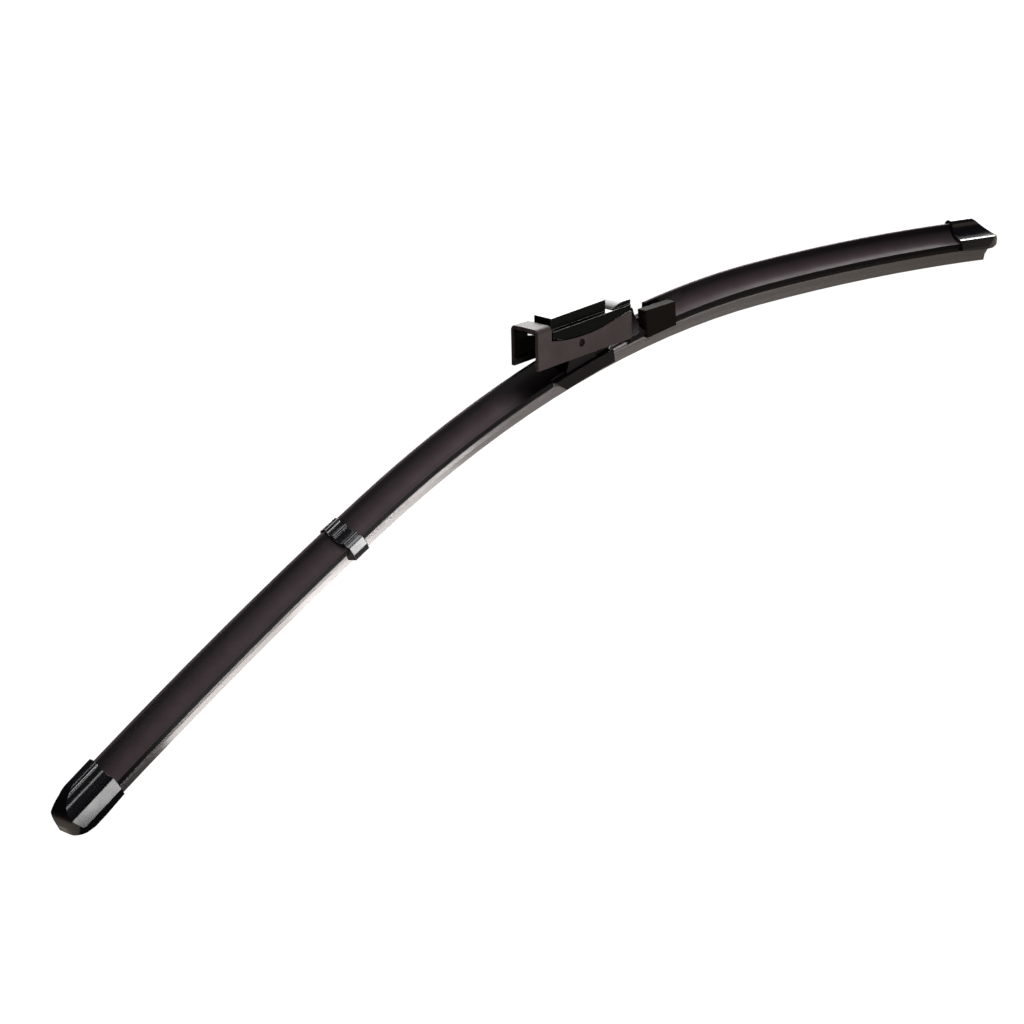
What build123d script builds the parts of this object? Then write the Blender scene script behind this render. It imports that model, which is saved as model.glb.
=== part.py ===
from build123d import *
from math import cos, degrees, sin
import os

# A flat car wiper blade: two bowed spring rails grip a rubber element, two spoilers ride on the rails,
# and a bracket in the middle carries the adapter that the wiper arm plugs into.
# Millimetres. The origin is on the adapter's pivot, midway across. +X runs along the blade to its right
# end, +Y points to the rear (the ridge side) and +Z points away from the glass.

# Bow of the rails: arcs of one length, from the pivot outwards on either side
BOW_ARC_LENGTH = 66.0
BOW_RADII = (596.0, 612.0, 1990.0, 2110.0, 2230.0)
PIVOT_HEIGHT = 13.05

# Stations along the rails, measured from the pivot
RUBBER_END = 316.0
RAIL_SHORTFALL = 6.0
LEFT_CAP_LENGTH = 27.0
LEFT_CAP_REACH = 12.0
RIGHT_CAP_LENGTH = 36.5
RIGHT_CAP_REACH = 6.0
CAP_OVERLAP = 10.0
LEFT_SPOILER_START = 20.0
RIGHT_SPOILER_START = 52.0
CLIP_START = 148.4
CLIP_LENGTH = 8.5
BRACKET_HALF_LENGTH = 19.5
HOLDER_START = 43.0
HOLDER_LENGTH = 20.0

# Clearances
FIT_GAP = 0.05
SLIP_GAP = 0.25
RUN_GAP = 0.3

# Spring rails
RAIL_THICKNESS = 0.9
RAIL_WIDTH = 3.3
RAIL_INNER = 1.65

# Rubber element
HEAD_HALF = 3.2
HEAD_FLANGE = 0.8
STEM_GAP = 0.25
LOWER_FLANGE_HALF = 3.4
LOWER_FLANGE = 1.2
NECK_HALF = 0.55
NECK_HEIGHT = 1.0
SHOULDER_HALF = 2.3
SHOULDER_HEIGHT = 0.7
LIP_ROOT_HALF = 0.75
LIP_ROOT_DROP = 3.0
LIP_TIP_HALF = 0.35
LIP_LENGTH = 2.9

# Claws that hook round the rails
CLAW_MOUTH_HALF = 4.2
CLAW_THICKNESS = 0.85

# Spoiler section
SPOILER_BASE_HALF = 6.45
SPOILER_BASE_TOP = 2.3
SPOILER_CHAMFER = 1.6
RIDGE_OFFSET = 2.0
RIDGE_RADIUS = 0.9
RIDGE_TOP = 11.4
FRONT_HOLLOW = 2.2
REAR_HOLLOW = 0.8

# Moulded covers: the end caps and the clip
COVER_REACH = 1.65
COVER_FRONT_HOLLOW = 1.2
COVER_REAR_BULGE = 0.6
CAP_WALL = 1.6
CAP_CREASE = -0.5
CAP_FACET_INSET = 1.5
LEFT_FACET_RISE = 5.8
RIGHT_FACET_RISE = 4.3
LEFT_SKIRT_BOTTOM = -4.1
RIGHT_SKIRT_BOTTOM = -1.9
CAP_SKIRT_RISE = 0.6
LEFT_NOSE_RUN = 16.0
RIGHT_NOSE_RUN = 19.2
LEFT_NOSE_BULGE = 2.4
RIGHT_NOSE_BULGE = 0.3
LEFT_NOSE_TOP = 2.0
RIGHT_NOSE_TOP = 1.0
LEFT_NOSE_BOTTOM = -2.0
RIGHT_NOSE_BOTTOM = -1.1
NOSE_UNDERCUT_RUN = 9.0
NOSE_EDGE = 0.9
NOSE_CORNER = 6.5
LEFT_FRONT_TAPER = 6.5
LEFT_FRONT_INSET = 6.5
RIGHT_FRONT_TAPER = 18.0
RIGHT_FRONT_INSET = 5.0
CLIP_WALL = 0.8
CLIP_SKIRT_BOTTOM = -4.1
CLIP_CREASE = -1.4
CLIP_FACET_INSET = 0.9
CLIP_FACET_RISE = 3.8
CLIP_SLANT = 0.3
CLIP_BEAD_RADIUS = 1.1
CLIP_BEADS = 2

# Rail bracket
BRACKET_INSET = 0.3
BRACKET_LEDGE = 1.7
BRACKET_CLAW_BOTTOM = -1.8
BRACKET_SKIRT_BOTTOM = -4.2
BRACKET_SHEET = 1.2
BRACKET_END_SLANT = 6.0
EAR_GAP = 0.4
EAR_SHEET = 1.6
EAR_RADIUS = 3.4
EAR_FOOT_HALF = 11.0

# Pivot
RIVET_RADIUS = 1.7
RIVET_RECESS = 0.9
RIVET_EDGE = 0.3
SPACER_WALL = 1.2

# Holder at the inner end of the right spoiler
HOLDER_HALF = 7.5
HOLDER_FRONT_TOP = 11.8
HOLDER_TOP_FALL = 2.2
HOLDER_FRONT_INNER = 2.6
HOLDER_REAR_INNER = 3.2
HOLDER_REAR_TOP = 4.2

# Adapter body, in its own level axes about the pivot
ADAPTER_TILT = 9.93
ADAPTER_MOUTH = -28.8
ADAPTER_END = 33.2
ADAPTER_HALF = 8.1
ADAPTER_WALL = 1.8
BOTTOM_LEFT = -6.6
BOTTOM_RIGHT = -5.6
ADAPTER_END_BOTTOM = -2.5
HOOD_END = -19.9
HOOD_TOP = 12.0
HOOD_ROOF = 1.7
HOOD_ROUND = 2.4
SILL_LEFT = 5.1
SILL_DIP = 3.1
SILL_DIP_X = 2.5
SILL_KNEE = 5.6
SILL_KNEE_X = 22.0
SILL_RIGHT = 7.2
DECK_START = -11.0
DECK_THICKNESS = 1.0
GUIDE_TOP = -3.2
GUIDE_HEIGHT = 1.0
GUIDE_DEPTH = 1.1
GUIDE_END = -13.0
PIVOT_CHAMFER = 0.3
THRUST_RADIUS = 3.0
THRUST_GAP = 0.15

# Lock lever, in the adapter's axes
LEVER_START = -18.3
LEVER_INSET = 0.4
LEVER_WALL = 1.2
LEVER_TOP_LEFT = 9.0
LEVER_TOP_RIGHT = 10.2
LEVER_ROOF = 1.4
SPINE_START = -17.0
SPINE_END = 19.0
SPINE_HALF = 5.0
SPINE_LEFT_HEIGHT = 5.1
SPINE_RIGHT_HEIGHT = 5.2
SPINE_EDGE = 0.5
THUMB_START = 21.0
THUMB_TIP = 34.6
THUMB_RISE = 1.8
THUMB_HALF = 6.2
THUMB_CROWN = 0.9
HINGE_X = -22.2
HINGE_Z = 8.4
TRUNNION_RADIUS = 1.2
TRUNNION_DEPTH = 1.0
TONGUE_HALF_THICKNESS = 0.7
DOG_HALF = 3.5
DOG_START = -16.5
DOG_END = -12.0
DOG_TIP = 3.5
DOG_TIP_LENGTH = 1.2

RAIL_END = RUBBER_END - RAIL_SHORTFALL
LEFT_CAP_TIP = RUBBER_END + LEFT_CAP_REACH
LEFT_CAP_MOUTH = LEFT_CAP_TIP - LEFT_CAP_LENGTH
RIGHT_CAP_TIP = RUBBER_END + RIGHT_CAP_REACH
RIGHT_CAP_MOUTH = RIGHT_CAP_TIP - RIGHT_CAP_LENGTH
RAIL_OUTER = RAIL_INNER + RAIL_WIDTH
GROOVE_HALF = RAIL_THICKNESS / 2 + FIT_GAP
HEAD_TOP = GROOVE_HALF + HEAD_FLANGE
CLAW_BOTTOM = -GROOVE_HALF - CLAW_THICKNESS
RIDGE_CENTRE = RIDGE_TOP - RIDGE_RADIUS
COVER_HALF = SPOILER_BASE_HALF + COVER_REACH
CAP_TOP = RIDGE_TOP + CAP_WALL
ADAPTER_INNER = ADAPTER_HALF - ADAPTER_WALL
BRACKET_HALF = ADAPTER_HALF - BRACKET_INSET
EAR_OUTER = ADAPTER_INNER - EAR_GAP
LEVER_HALF = ADAPTER_HALF - LEVER_INSET
FAR = 60.0


# The bowed rail line

def arc_of(s):
    """Centre (x, z) and radius of the arc that carries station s."""
    x = 0.0
    z = -PIVOT_HEIGHT - BOW_RADII[0]
    slope = 0.0
    arcs_passed = min(int(abs(s) / BOW_ARC_LENGTH), len(BOW_RADII) - 1)
    for radius, next_radius in zip(BOW_RADII[:arcs_passed], BOW_RADII[1:]):
        slope += BOW_ARC_LENGTH / radius
        x -= (next_radius - radius) * sin(slope)
        z -= (next_radius - radius) * cos(slope)
    side = 1 if s > 0 else -1
    return side * x, z, BOW_RADII[arcs_passed]


def slope_at(s):
    """Downward slope of the rail line at station s, in radians, falling towards both ends."""
    arcs_passed = min(int(abs(s) / BOW_ARC_LENGTH), len(BOW_RADII) - 1)
    turn = sum(BOW_ARC_LENGTH / radius for radius in BOW_RADII[:arcs_passed])
    turn += (abs(s) - arcs_passed * BOW_ARC_LENGTH) / BOW_RADII[arcs_passed]
    side = 1 if s > 0 else -1
    return side * turn


def point_at(s):
    x, z, radius = arc_of(s)
    slope = slope_at(s)
    return x + radius * sin(slope), 0.0, z + radius * cos(slope)


def section_plane(s):
    """Plane across the rails: local x is +Y and local y rises away from the glass."""
    slope = slope_at(s)
    return Plane(origin=point_at(s), x_dir=(0, 1, 0), z_dir=(cos(slope), 0, -sin(slope)))


def side_plane(s):
    """Plane along the rails: local x follows the blade and local y rises away from the glass."""
    slope = slope_at(s)
    return Plane(origin=point_at(s), x_dir=(cos(slope), 0, -sin(slope)), z_dir=(0, -1, 0))


def plan_plane(s):
    """Plane on the rails: local x follows the blade and local y is +Y."""
    slope = slope_at(s)
    return Plane(origin=point_at(s), x_dir=(cos(slope), 0, -sin(slope)), z_dir=(sin(slope), 0, cos(slope)))


def run(section, start, end):
    """Carry a section along the bowed rail line from one station to another."""
    arcs = len(BOW_RADII)
    ends_of_arcs = [k * BOW_ARC_LENGTH for k in range(1 - arcs, arcs) if k]
    stations = [start, *(s for s in ends_of_arcs if start < s < end), end]
    solid = None
    for low, high in zip(stations, stations[1:]):
        x, z, _ = arc_of((low + high) / 2)
        turn = degrees(slope_at(high) - slope_at(low))
        piece = revolve(section_plane(low) * section, Axis((x, 0, z), (0, 1, 0)), turn)
        solid = piece if solid is None else solid + piece
    return solid


# Sections across the blade

def band(y_low, y_high, h_low, h_high):
    """A rectangle between two distances across the blade and two heights."""
    return Pos((y_low + y_high) / 2, (h_low + h_high) / 2) * Rectangle(y_high - y_low, h_high - h_low)


def mirrored_outline(right_side):
    """A closed outline from its right half, listed from the top down."""
    left_side = [(-y, h) for y, h in reversed(right_side)]
    return make_face(Polyline(*right_side, *left_side, close=True))


def rubber_section():
    flange_bottom = -GROOVE_HALF - LOWER_FLANGE
    shoulder_top = flange_bottom - NECK_HEIGHT
    shoulder_bottom = shoulder_top - SHOULDER_HEIGHT
    lip_root = shoulder_bottom - LIP_ROOT_DROP
    stem_half = RAIL_INNER - STEM_GAP
    return mirrored_outline([
        (HEAD_HALF, HEAD_TOP),
        (HEAD_HALF, GROOVE_HALF),
        (stem_half, GROOVE_HALF),
        (stem_half, -GROOVE_HALF),
        (LOWER_FLANGE_HALF, -GROOVE_HALF),
        (LOWER_FLANGE_HALF, flange_bottom),
        (NECK_HALF, flange_bottom),
        (NECK_HALF, shoulder_top),
        (SHOULDER_HALF, shoulder_top),
        (SHOULDER_HALF, shoulder_bottom),
        (LIP_ROOT_HALF, lip_root),
        (LIP_TIP_HALF, lip_root - LIP_LENGTH),
    ])


def rail_channel():
    """The space that every claw leaves round the rails and the rubber's head."""
    rails = RAIL_OUTER + FIT_GAP
    head = HEAD_HALF + SLIP_GAP
    space = band(-rails, rails, -GROOVE_HALF, GROOVE_HALF)
    space += band(-head, head, 0, HEAD_TOP + SLIP_GAP)
    return space + band(-CLAW_MOUTH_HALF, CLAW_MOUTH_HALF, -FAR, 0)


def spoiler_outline():
    """Hollow front face, blunt ridge and steep rear face above a square base."""
    base = SPOILER_BASE_HALF
    chamfer = SPOILER_CHAMFER
    front_top = (RIDGE_OFFSET - RIDGE_RADIUS, RIDGE_CENTRE)
    rear_top = (RIDGE_OFFSET + RIDGE_RADIUS, RIDGE_CENTRE)
    edges = [
        Polyline((base, SPOILER_BASE_TOP), (base, CLAW_BOTTOM + chamfer), (base - chamfer, CLAW_BOTTOM),
                 (chamfer - base, CLAW_BOTTOM), (-base, CLAW_BOTTOM + chamfer), (-base, SPOILER_BASE_TOP)),
        SagittaArc((-base, SPOILER_BASE_TOP), front_top, -FRONT_HOLLOW),
        ThreePointArc(front_top, (RIDGE_OFFSET, RIDGE_TOP), rear_top),
        SagittaArc(rear_top, (base, SPOILER_BASE_TOP), -REAR_HOLLOW),
    ]
    return make_face(Curve() + edges)


def cover_front(wall, crease, facet_inset, facet_rise):
    """The hollow face of a moulding, from the top of its front facet up to its ridge."""
    facet_top = (facet_inset - COVER_HALF, crease + facet_rise)
    ridge_front = (RIDGE_OFFSET - RIDGE_RADIUS - wall, RIDGE_CENTRE)
    return SagittaArc(facet_top, ridge_front, -COVER_FRONT_HOLLOW)


def cover_outline(wall, crease, facet_inset, facet_rise, bottom):
    """A moulding's outer shape: skirts, a crease, a front facet and the ridge."""
    front = cover_front(wall, crease, facet_inset, facet_rise)
    ridge_rear = (RIDGE_OFFSET + RIDGE_RADIUS + wall, RIDGE_CENTRE)
    edges = [
        Polyline((COVER_HALF, crease), (COVER_HALF, bottom), (-COVER_HALF, bottom),
                 (-COVER_HALF, crease), front @ 0),
        front,
        ThreePointArc(front @ 1, (RIDGE_OFFSET, RIDGE_TOP + wall), ridge_rear),
        SagittaArc(ridge_rear, (COVER_HALF, crease), COVER_REAR_BULGE),
    ]
    return make_face(Curve() + edges)


def spoiler_space():
    """The spoiler's outline with room to slip a moulding over it."""
    return offset(spoiler_outline(), SLIP_GAP)


# Pieces that run along the blade

def spring_rail(side):
    low, high = sorted((side * RAIL_INNER, side * RAIL_OUTER))
    return run(band(low, high, -RAIL_THICKNESS / 2, RAIL_THICKNESS / 2), -RAIL_END, RAIL_END)


def wiper_rubber():
    return run(rubber_section(), -RUBBER_END, RUBBER_END)


def spoiler(start, end):
    return run(spoiler_outline() - rail_channel(), start, end)


def spoiler_clip():
    """A sleeve round the left spoiler with slanted ends and gripping beads along its front."""
    shape = (CLIP_WALL, CLIP_CREASE, CLIP_FACET_INSET, CLIP_FACET_RISE)
    front = cover_front(*shape)
    section = cover_outline(*shape, CLIP_SKIRT_BOTTOM)
    for k in range(CLIP_BEADS):
        section += Pos(front @ ((k + 0.5) / CLIP_BEADS)) * Circle(CLIP_BEAD_RADIUS)
    section -= spoiler_space()
    section -= band(-CLAW_MOUTH_HALF, CLAW_MOUTH_HALF, -FAR, 0)
    side = COVER_HALF + 1
    slant = CLIP_SLANT * side
    left = -CLIP_START - CLIP_LENGTH
    sleeve = extrude(section_plane(left - slant) * section, CLIP_LENGTH + 2 * slant)
    plan = make_face(Polyline((slant, -side), (CLIP_LENGTH + slant, -side), (CLIP_LENGTH - slant, side),
                              (-slant, side), close=True))
    return sleeve & extrude(plan_plane(left) * plan, FAR, both=True)


def end_cap(mouth, tip, facet_rise, bottom, nose_run, nose_bulge, nose_top, nose_bottom,
            front_taper, front_inset):
    """A cap for the right end: it slips over the spoiler and rail ends and falls to a broad nose."""
    length = tip - mouth
    slope_start = length - nose_run
    above = CAP_TOP + 1
    mouth_bottom = bottom + CAP_SKIRT_RISE
    profile = make_face(Curve() + [
        Polyline((length, nose_top), (length, nose_bottom), (length - NOSE_UNDERCUT_RUN, bottom),
                 (slope_start, bottom), (0, mouth_bottom), (-1, mouth_bottom),
                 (-1, above), (slope_start, above), (slope_start, CAP_TOP)),
        SagittaArc((slope_start, CAP_TOP), (length, nose_top), nose_bulge),
    ])
    profile = fillet(profile.vertices().group_by(Axis.X)[-1], NOSE_EDGE)
    side = COVER_HALF + SLIP_GAP
    rear_corner = (length, side - NOSE_CORNER)
    front_corner = (length, front_inset - side)
    plan = make_face(Curve() + [
        Polyline((length - front_taper, -side), (-1, -side), (-1, side), (length - NOSE_CORNER, side)),
        TangentArc((length - NOSE_CORNER, side), rear_corner, tangent=(1, 0)),
        Line(rear_corner, front_corner),
        TangentArc((length - front_taper, -side), front_corner, tangent=(1, 0)),
    ])
    outline = cover_outline(CAP_WALL, CAP_CREASE, CAP_FACET_INSET, facet_rise, bottom)
    cap = extrude(section_plane(mouth) * outline, length)
    cap &= extrude(side_plane(mouth) * profile, side, both=True)
    cap &= extrude(plan_plane(mouth) * plan, FAR, both=True)
    cap -= run(spoiler_space(), mouth - 1, mouth + CAP_OVERLAP + SLIP_GAP)
    return cap - run(rail_channel(), mouth - 1, RUBBER_END + SLIP_GAP)


# Middle of the blade

def slab(outline, y_low, y_high):
    """Thicken an outline in X and Z between two distances across the blade."""
    return extrude(Plane((0, y_high, 0), x_dir=(1, 0, 0), z_dir=(0, -1, 0)) * outline, y_high - y_low)


def cross_pin(radius, y_low, y_high, x=0.0, z=0.0):
    return slab(Pos(x, z) * Circle(radius), y_low, y_high)


def rail_bracket():
    """Folded steel: claws round the rails, a ledge over them and two ears up to the pivot."""
    hump_half = HEAD_HALF + SLIP_GAP + BRACKET_SHEET
    section = band(-BRACKET_HALF, BRACKET_HALF, BRACKET_CLAW_BOTTOM, BRACKET_LEDGE)
    section += band(-hump_half, hump_half, 0, HEAD_TOP + SLIP_GAP + BRACKET_SHEET)
    for side in (-1, 1):
        low, high = sorted((side * (BRACKET_HALF - BRACKET_SHEET), side * BRACKET_HALF))
        section += band(low, high, BRACKET_SKIRT_BOTTOM, 0)
    bracket = run(section - rail_channel(), -BRACKET_HALF_LENGTH, BRACKET_HALF_LENGTH)
    slant = make_face(Polyline(
        (0, BRACKET_LEDGE),
        (BRACKET_END_SLANT, BRACKET_SKIRT_BOTTOM),
        (BRACKET_END_SLANT, BRACKET_SKIRT_BOTTOM - 1),
        (-1, BRACKET_SKIRT_BOTTOM - 1),
        (-1, BRACKET_LEDGE),
        close=True,
    ))
    bracket -= extrude(side_plane(-BRACKET_HALF_LENGTH) * slant, FAR, both=True)
    foot_height = BRACKET_LEDGE / 2 - PIVOT_HEIGHT
    ear_edges = Circle(EAR_RADIUS).edges() + Edge.make_line(
        (-EAR_FOOT_HALF, foot_height), (EAR_FOOT_HALF, foot_height)).edges()
    ear = make_hull(ear_edges) - Circle(RIVET_RADIUS + FIT_GAP)
    for outer in (EAR_OUTER, EAR_SHEET - EAR_OUTER):
        bracket += slab(ear, outer - EAR_SHEET, outer)
    return bracket


def pivot_rivet():
    half = ADAPTER_HALF - RIVET_RECESS
    rivet = cross_pin(RIVET_RADIUS, -half, half)
    return chamfer(rivet.edges().filter_by(GeomType.CIRCLE), RIVET_EDGE)


def pivot_spacer():
    half = EAR_OUTER - EAR_SHEET - FIT_GAP
    bore = RIVET_RADIUS + FIT_GAP
    return cross_pin(bore + SPACER_WALL, -half, half) - cross_pin(bore, -half, half)


def spoiler_holder():
    """A moulded block that hooks on the rails and sockets the inner end of the right spoiler."""
    end = HOLDER_START + HOLDER_LENGTH
    section = band(-HOLDER_HALF, HOLDER_HALF, CLAW_BOTTOM, SPOILER_BASE_TOP)
    section += band(-HOLDER_HALF, -HOLDER_FRONT_INNER, 0, HOLDER_FRONT_TOP)
    section += band(HOLDER_REAR_INNER, HOLDER_HALF, 0, HOLDER_REAR_TOP)
    holder = run(section - rail_channel(), HOLDER_START, end)
    falling_top = make_face(Polyline(
        (0, HOLDER_FRONT_TOP),
        (HOLDER_LENGTH + 1, HOLDER_FRONT_TOP - HOLDER_TOP_FALL),
        (HOLDER_LENGTH + 1, HOLDER_FRONT_TOP + 1),
        (0, HOLDER_FRONT_TOP + 1),
        close=True,
    ))
    holder -= extrude(side_plane(HOLDER_START) * falling_top, FAR, both=True)
    return holder - run(spoiler_space(), RIGHT_SPOILER_START - SLIP_GAP, end + 1)


# Adapter and its lock lever

def sill_line(left, gap=0.0):
    """The dipping top edge of the adapter's walls, from its right end to a distance left of the pivot."""
    knee = (SILL_KNEE_X, SILL_KNEE + gap)
    dip = (SILL_DIP_X, SILL_DIP + gap)
    return [Line((ADAPTER_END, SILL_RIGHT + gap), knee), ThreePointArc(knee, dip, (left, SILL_LEFT + gap))]


def adapter_body():
    """A channel open below with a hood over its mouth, a deck over the pivot and arm guides inside."""
    deck_bottom = EAR_RADIUS + RUN_GAP
    deck_top = deck_bottom + DECK_THICKNESS
    end_inner = ADAPTER_END - ADAPTER_WALL
    ceiling = HOOD_TOP - HOOD_ROOF
    floor = min(BOTTOM_LEFT, BOTTOM_RIGHT) - 1
    wall = make_face(Curve() + sill_line(HOOD_END) + [
        Polyline((HOOD_END, SILL_LEFT), (HOOD_END, HOOD_TOP), (ADAPTER_MOUTH, HOOD_TOP),
                 (ADAPTER_MOUTH, BOTTOM_LEFT), (ADAPTER_END, BOTTOM_RIGHT), (ADAPTER_END, SILL_RIGHT)),
    ])
    body = slab(wall, -ADAPTER_HALF, ADAPTER_HALF)
    hood_edges = body.edges().filter_by(Axis.X).group_by(Axis.Z)[-1]
    body = fillet(hood_edges, HOOD_ROUND)
    body -= slab(band(ADAPTER_MOUTH - 1, DECK_START, floor, ceiling), -ADAPTER_INNER, ADAPTER_INNER)
    body -= slab(band(DECK_START - 1, end_inner, floor, HOOD_TOP), -ADAPTER_INNER, ADAPTER_INNER)
    body += slab(band(DECK_START, end_inner, deck_bottom, deck_top), -ADAPTER_INNER, ADAPTER_INNER)
    end_gate = band(end_inner - 1, ADAPTER_END + 1, floor, ADAPTER_END_BOTTOM)
    body -= slab(end_gate, -ADAPTER_INNER, ADAPTER_INNER)
    guide = band(ADAPTER_MOUTH, GUIDE_END, GUIDE_TOP - GUIDE_HEIGHT, GUIDE_TOP)
    thrust_face = EAR_OUTER + THRUST_GAP
    bore = RIVET_RADIUS + FIT_GAP
    for side in (-1, 1):
        body += slab(guide, *sorted((side * (ADAPTER_INNER - GUIDE_DEPTH), side * ADAPTER_INNER)))
        body += cross_pin(THRUST_RADIUS, *sorted((side * thrust_face, side * ADAPTER_INNER)))
        socket = sorted((side * ADAPTER_INNER, side * (ADAPTER_INNER + TRUNNION_DEPTH + FIT_GAP)))
        body -= cross_pin(TRUNNION_RADIUS + FIT_GAP, *socket, x=HINGE_X, z=HINGE_Z)
    body -= cross_pin(bore, -ADAPTER_HALF - 1, ADAPTER_HALF + 1)
    rims = [e for e in body.edges().filter_by(GeomType.CIRCLE)
            if abs(e.radius - bore) < FIT_GAP / 2 and abs(abs(e.center().Y) - ADAPTER_HALF) < FIT_GAP]
    return chamfer(rims, PIVOT_CHAMFER)


def lever_top(x):
    """Height of the lever's roof, which rises towards the thumb rest."""
    share = (x - LEVER_START) / (ADAPTER_END - LEVER_START)
    return LEVER_TOP_LEFT + share * (LEVER_TOP_RIGHT - LEVER_TOP_LEFT)


def along_roof(start, end, start_height, end_height):
    """Side outline of what stands on the lever's roof, from the roof's underside up."""
    return make_face(Polyline(
        (start, lever_top(start) - LEVER_ROOF),
        (end, lever_top(end) - LEVER_ROOF),
        (end, lever_top(end) + end_height),
        (start, lever_top(start) + start_height),
        close=True,
    ))


def lock_lever():
    """A cover over the adapter with side skirts, a raised spine, a locking dog and a thumb rest."""
    inner = LEVER_HALF - LEVER_WALL
    tongue_half = ADAPTER_INNER - RUN_GAP
    skirt = make_face(Curve() + sill_line(LEVER_START, RUN_GAP) + [
        Polyline((LEVER_START, SILL_LEFT + RUN_GAP), (LEVER_START, LEVER_TOP_LEFT),
                 (ADAPTER_END, LEVER_TOP_RIGHT), (ADAPTER_END, SILL_RIGHT + RUN_GAP)),
    ])
    lever = slab(along_roof(LEVER_START, ADAPTER_END, 0, 0), -LEVER_HALF, LEVER_HALF)
    for side in (-1, 1):
        lever += slab(skirt, *sorted((side * inner, side * LEVER_HALF)))
    spine_side = along_roof(SPINE_START, SPINE_END, SPINE_LEFT_HEIGHT, SPINE_RIGHT_HEIGHT)
    spine_side = fillet(spine_side.vertices().sort_by(Axis.Y)[-2:], SPINE_EDGE)
    lever += slab(spine_side, -SPINE_HALF, SPINE_HALF)
    thumb_base = lever_top(THUMB_START)
    thumb_top = LEVER_TOP_RIGHT + THUMB_RISE
    thumb = make_face(Curve() + [
        Polyline((THUMB_TIP, thumb_top), (THUMB_TIP, LEVER_TOP_RIGHT),
                 (ADAPTER_END, LEVER_TOP_RIGHT - LEVER_ROOF),
                 (THUMB_START, thumb_base - LEVER_ROOF), (THUMB_START, thumb_base)),
        SagittaArc((THUMB_START, thumb_base), (THUMB_TIP, thumb_top), THUMB_CROWN),
    ])
    lever += slab(thumb, -THUMB_HALF, THUMB_HALF)
    tongue_top = HINGE_Z + TONGUE_HALF_THICKNESS
    tongue = band(HINGE_X, DOG_START, HINGE_Z - TONGUE_HALF_THICKNESS, tongue_top)
    tongue += Pos(HINGE_X, HINGE_Z) * Circle(TRUNNION_RADIUS)
    lever += slab(tongue, -tongue_half, tongue_half)
    trunnion_half = ADAPTER_INNER + TRUNNION_DEPTH - FIT_GAP
    lever += cross_pin(TRUNNION_RADIUS, -trunnion_half, trunnion_half, x=HINGE_X, z=HINGE_Z)
    dog = make_face(Polyline(
        (DOG_START, lever_top(DOG_START)),
        (DOG_END - DOG_TIP_LENGTH, DOG_TIP),
        (DOG_END, DOG_TIP),
        (DOG_END, lever_top(DOG_END)),
        close=True,
    ))
    return lever + slab(dog, -DOG_HALF, DOG_HALF)


def tilted(piece):
    """Rock a piece of the adapter about the pivot, mouth end up."""
    return Rot(0, ADAPTER_TILT, 0) * piece


left_end_cap = end_cap(LEFT_CAP_MOUTH, LEFT_CAP_TIP, LEFT_FACET_RISE, LEFT_SKIRT_BOTTOM,
                       LEFT_NOSE_RUN, LEFT_NOSE_BULGE, LEFT_NOSE_TOP, LEFT_NOSE_BOTTOM,
                       LEFT_FRONT_TAPER, LEFT_FRONT_INSET)
right_end_cap = end_cap(RIGHT_CAP_MOUTH, RIGHT_CAP_TIP, RIGHT_FACET_RISE, RIGHT_SKIRT_BOTTOM,
                        RIGHT_NOSE_RUN, RIGHT_NOSE_BULGE, RIGHT_NOSE_TOP, RIGHT_NOSE_BOTTOM,
                        RIGHT_FRONT_TAPER, RIGHT_FRONT_INSET)
pieces = {
    "wiper_rubber": wiper_rubber(),
    "front_spring_rail": spring_rail(-1),
    "rear_spring_rail": spring_rail(1),
    "left_spoiler": spoiler(-LEFT_CAP_MOUTH - CAP_OVERLAP, -LEFT_SPOILER_START),
    "right_spoiler": spoiler(RIGHT_SPOILER_START, RIGHT_CAP_MOUTH + CAP_OVERLAP),
    "left_end_cap": mirror(left_end_cap, Plane.YZ),
    "right_end_cap": right_end_cap,
    "spoiler_clip": spoiler_clip(),
    "rail_bracket": rail_bracket(),
    "pivot_rivet": pivot_rivet(),
    "pivot_spacer": pivot_spacer(),
    "spoiler_holder": spoiler_holder(),
    "adapter_body": tilted(adapter_body()),
    "lock_lever": tilted(lock_lever()),
}

os.makedirs("parts", exist_ok=True)
for name, piece in pieces.items():
    export_step(piece, f"parts/{name}.step")
    print(name, round(piece.volume, 1))
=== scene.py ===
# %% [markdown]
# # A flat wiper blade
# The blade is a bowed steel and rubber beam, 650 mm long along its rails and only 16 mm wide, so most of it
# is one section drawn out along a curve. The exact solids come in as a fixed frame. This lesson leaves them
# where they are and gives them their finishes. Then it adds rubber detail that sits on them: a short heel at
# the inner end of each spoiler, and fine ribs along the lip.

# %% Load the solids
import math

import bmesh
import bpy
from mathutils import Matrix, Vector


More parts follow.
